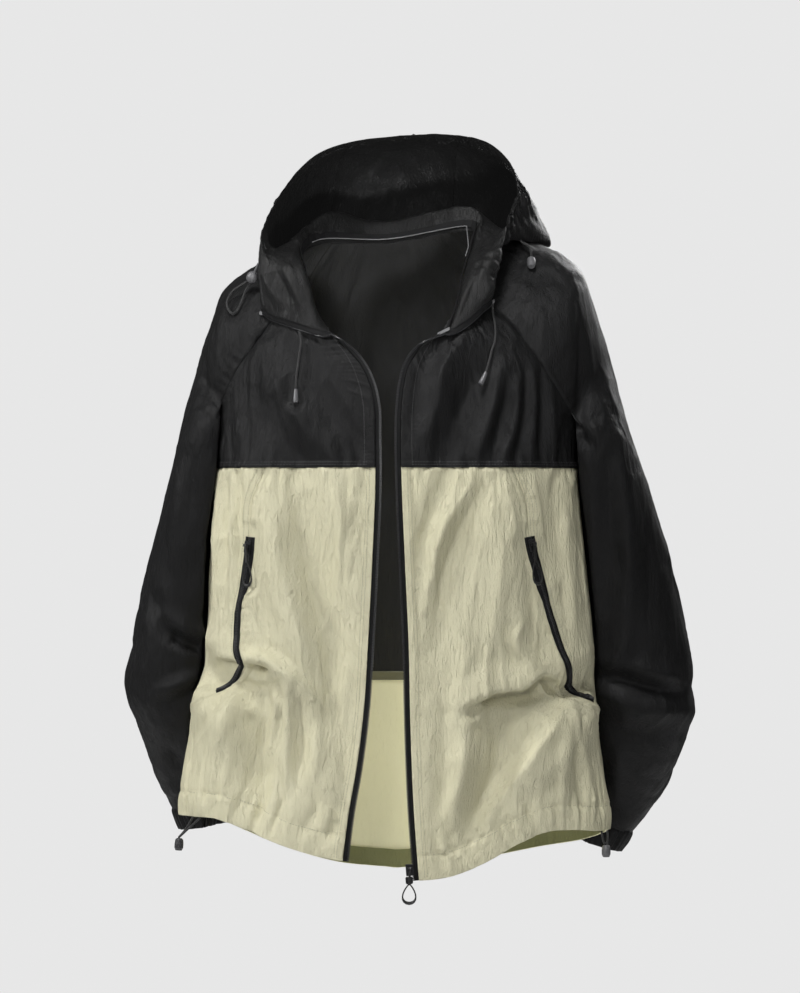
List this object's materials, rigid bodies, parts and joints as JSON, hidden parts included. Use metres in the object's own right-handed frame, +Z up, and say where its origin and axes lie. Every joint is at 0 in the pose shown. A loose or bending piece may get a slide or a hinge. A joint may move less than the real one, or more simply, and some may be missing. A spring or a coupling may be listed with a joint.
{
  "type": "windbreaker jacket",
  "caption": "Hooded windbreaker jacket in black and pale sage nylon, worn shape and open at the front, with zip pockets, gathered cuffs and cord stops",
  "frame": {"origin": "between the two neck points at the top of the shoulders, where the wearer carries the jacket", "axes": "+Z up, -Y the jacket's front, +X the wearer's left"},
  "size_m": [0.654, 0.3615, 0.8678],
  "materials": {
    "black_nylon": "crinkled black nylon, soft sheen",
    "cord_black": "black braided cord and binding",
    "dark_metal": "dark lacquered zip slider",
    "grey_plastic": "moulded dark grey plastic",
    "sage_nylon": "crinkled pale sage nylon, soft sheen",
    "zip_tape": "black woven zip tape"
  },
  "bodies": {
    "jacket": {"back_lower": "sage_nylon", "back_upper": "black_nylon", "cuff_left": "black_nylon", "cuff_right": "black_nylon", "front_panel_left": "sage_nylon", "front_panel_right": "sage_nylon", "front_side_left": "sage_nylon", "front_side_right": "sage_nylon", "front_yoke_left": "black_nylon", "front_yoke_right": "black_nylon", "front_zip_left": "zip_tape", "front_zip_right": "zip_tape", "hem_facing_back": "sage_nylon", "hem_lock_left": "grey_plastic", "hem_lock_right": "grey_plastic", "hem_loop_left": "cord_black", "hem_loop_right": "cord_black", "hood_cord_left": "cord_black", "hood_cord_right": "cord_black", "hood_left": "black_nylon", "hood_lock_left": "grey_plastic", "hood_lock_right": "grey_plastic", "hood_loop_left": "cord_black", "hood_loop_right": "cord_black", "hood_middle": "black_nylon", "hood_right": "black_nylon", "hood_tip_left": "grey_plastic", "hood_tip_right": "grey_plastic", "main_slider": "dark_metal", "neck_tape": "cord_black", "pocket_slider_left": "dark_metal", "pocket_slider_right": "dark_metal", "pocket_zip_left": "zip_tape", "pocket_zip_right": "zip_tape", "sleeve_left": "black_nylon", "sleeve_right": "black_nylon", "zip_box": "dark_metal"},
    "main_pull": {"main_pull": "grey_plastic"},
    "pocket_pull_left": {"pocket_pull_left": "grey_plastic"},
    "pocket_pull_right": {"pocket_pull_right": "grey_plastic"}
  },
  "joints": [
    {"name": "main_pull_hinge", "type": "hinge", "parent": "jacket", "child": "main_pull", "pos_m": [0.01528, -0.15099, -0.66671], "axis": [-0.996, -0.0467, -0.0767], "range_deg": [0, 150]},
    {"name": "pocket_pull_left_hinge", "type": "hinge", "parent": "jacket", "child": "pocket_pull_left", "pos_m": [-0.16626, -0.1154, -0.31254], "axis": [-0.8338, 0.538, 0.1237], "range_deg": [0, 150]},
    {"name": "pocket_pull_right_hinge", "type": "hinge", "parent": "jacket", "child": "pocket_pull_right", "pos_m": [0.15268, -0.12492, -0.31038], "axis": [-0.8762, -0.4218, -0.2333], "range_deg": [0, 150]}
  ]
}
